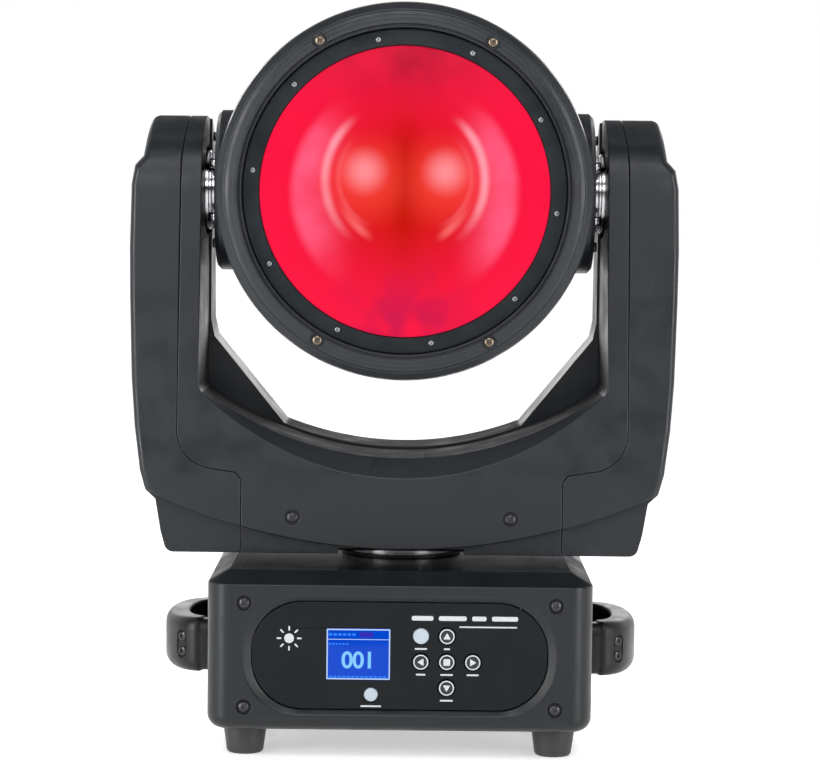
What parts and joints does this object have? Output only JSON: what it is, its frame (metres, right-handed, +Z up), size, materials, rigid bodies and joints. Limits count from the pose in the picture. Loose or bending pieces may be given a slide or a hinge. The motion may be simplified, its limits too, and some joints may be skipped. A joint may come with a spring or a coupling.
{
  "type": "moving head light",
  "caption": "Moving head wash light: a round head with a wide front lens tilts in a U-shaped yoke that pans on a box base with a control panel, side handles and feet.",
  "frame": {"origin": "on the floor under the pan axis, at the middle of the base", "axes": "+Z up along the pan axis, -Y towards the lens and control panel at rest, +X along the tilt axis to the right of someone facing the control panel"},
  "size_m": [0.313, 0.2, 0.4221],
  "materials": {
    "shell_plastic": "fine moulded texture, satin charcoal",
    "base_plastic": "fine moulded texture, satin charcoal",
    "handle_plastic": "fine moulded texture, mid grey",
    "panel_film": "smooth printed film, near black",
    "display_glass": "lit blue liquid crystal display",
    "key_plastic": "pale grey key caps",
    "foot_rubber": "dull black",
    "bright_steel": "turned and polished",
    "aluminium": "machined",
    "sheet_metal": "powder coated sheet",
    "lens_glass": "stippled front lens, lit red from inside",
    "optic_glass": "clear",
    "ring_black": "satin black",
    "circuit_board": "green solder mask",
    "inner_plastic": "black moulding",
    "motor_steel": "blackened steel",
    "belt_rubber": "dull black"
  },
  "bodies": {
    "base": {"base_housing": "base_plastic", "bottom_plate": "sheet_metal", "control_panel": "panel_film", "lcd_display": "display_glass", "control_board": "circuit_board", "power_supply": "aluminium", "rear_panel": "sheet_metal", "power_in": "inner_plastic", "power_out": "inner_plastic", "data_in": "inner_plastic", "data_out": "inner_plastic", "foot_front_left": "foot_rubber", "foot_front_right": "foot_rubber", "foot_rear_left": "foot_rubber", "foot_rear_right": "foot_rubber", "handle_left": "handle_plastic", "handle_right": "handle_plastic", "pan_shaft": "bright_steel", "pan_pulley": "aluminium"},
    "yoke": {"yoke_frame": "sheet_metal", "yoke_front_cover": "shell_plastic", "yoke_rear_cover": "shell_plastic", "yoke_undertray": "shell_plastic", "arm_cover_left": "shell_plastic", "arm_cover_right": "shell_plastic", "pan_motor": "motor_steel", "pan_belt": "belt_rubber", "tilt_motor": "motor_steel", "tilt_belt": "belt_rubber", "pan_bearing": "bright_steel", "tilt_bearing_left": "bright_steel", "tilt_bearing_right": "bright_steel"},
    "head": {"front_bezel": "shell_plastic", "lens_ring": "ring_black", "front_lens": "lens_glass", "head_front_shell": "shell_plastic", "head_rear_shell": "shell_plastic", "tilt_hub_left": "shell_plastic", "tilt_hub_right": "shell_plastic", "tilt_pulley": "aluminium", "head_chassis": "sheet_metal", "led_module": "aluminium", "heat_sink": "aluminium", "fan_frame": "inner_plastic", "zoom_rod_left": "bright_steel", "zoom_rod_right": "bright_steel", "zoom_motor": "motor_steel"},
    "pan_drive": {"pan_motor_pulley": "aluminium"},
    "tilt_drive": {"tilt_motor_pulley": "aluminium"},
    "zoom_carriage": {"zoom_lens": "optic_glass"},
    "zoom_drive": {"zoom_screw": "bright_steel"},
    "fan": {"fan_rotor": "inner_plastic"},
    "key_enter": {"button_enter": "key_plastic"},
    "key_up": {"button_up": "key_plastic"},
    "key_down": {"button_down": "key_plastic"},
    "key_left": {"button_left": "key_plastic"},
    "key_right": {"button_right": "key_plastic"},
    "key_mode": {"button_mode": "key_plastic"},
    "key_power": {"button_power": "key_plastic"}
  },
  "joints": [
    {"name": "pan", "type": "hinge", "parent": "base", "child": "yoke", "pos_m": [0, 0, 0.13], "axis": [0, 0, 1], "range_deg": [-270, 270]},
    {"name": "tilt", "type": "hinge", "parent": "yoke", "child": "head", "pos_m": [0, 0, 0.3166], "axis": [-1, 0, 0], "range_deg": [-25, 205]},
    {"name": "pan_motor_spin", "type": "hinge", "parent": "yoke", "child": "pan_drive", "pos_m": [-0.062, 0, 0.154], "axis": [0, 0, 1], "range_deg": [-1012.5, 1012.5]},
    {"name": "tilt_motor_spin", "type": "hinge", "parent": "yoke", "child": "tilt_drive", "pos_m": [0.1335, 0, 0.1516], "axis": [-1, 0, 0], "range_deg": [-100, 820]},
    {"name": "zoom", "type": "slide", "parent": "head", "child": "zoom_carriage", "axis": [0, -1, 0], "range_m": [0, 0.04]},
    {"name": "zoom_screw_spin", "type": "hinge", "parent": "head", "child": "zoom_drive", "pos_m": [0, 0, 0.2366], "axis": [0, -1, 0], "range_deg": [0, 1800]},
    {"name": "fan_spin", "type": "hinge", "parent": "head", "child": "fan", "pos_m": [0, 0.0605, 0.3166], "axis": [0, 1, 0], "continuous": true},
    {"name": "press_enter", "type": "slide", "parent": "base", "child": "key_enter", "axis": [0, 1, 0], "range_m": [0, 0.001], "stiffness_N_per_m": 400, "springref_m": -0.0005},
    {"name": "press_up", "type": "slide", "parent": "base", "child": "key_up", "axis": [0, 1, 0], "range_m": [0, 0.001], "stiffness_N_per_m": 400, "springref_m": -0.0005},
    {"name": "press_down", "type": "slide", "parent": "base", "child": "key_down", "axis": [0, 1, 0], "range_m": [0, 0.001], "stiffness_N_per_m": 400, "springref_m": -0.0005},
    {"name": "press_left", "type": "slide", "parent": "base", "child": "key_left", "axis": [0, 1, 0], "range_m": [0, 0.001], "stiffness_N_per_m": 400, "springref_m": -0.0005},
    {"name": "press_right", "type": "slide", "parent": "base", "child": "key_right", "axis": [0, 1, 0], "range_m": [0, 0.001], "stiffness_N_per_m": 400, "springref_m": -0.0005},
    {"name": "press_mode", "type": "slide", "parent": "base", "child": "key_mode", "axis": [0, 1, 0], "range_m": [0, 0.001], "stiffness_N_per_m": 400, "springref_m": -0.0005},
    {"name": "press_power", "type": "slide", "parent": "base", "child": "key_power", "axis": [0, 1, 0], "range_m": [0, 0.001], "stiffness_N_per_m": 400, "springref_m": -0.0005}
  ],
  "couplings": [
    {"joint": "pan_motor_spin", "follows": "pan", "ratio": -3.75},
    {"joint": "tilt_motor_spin", "follows": "tilt", "ratio": 4},
    {"joint": "zoom_screw_spin", "follows": "zoom", "rad_per_m": 785.4}
  ]
}
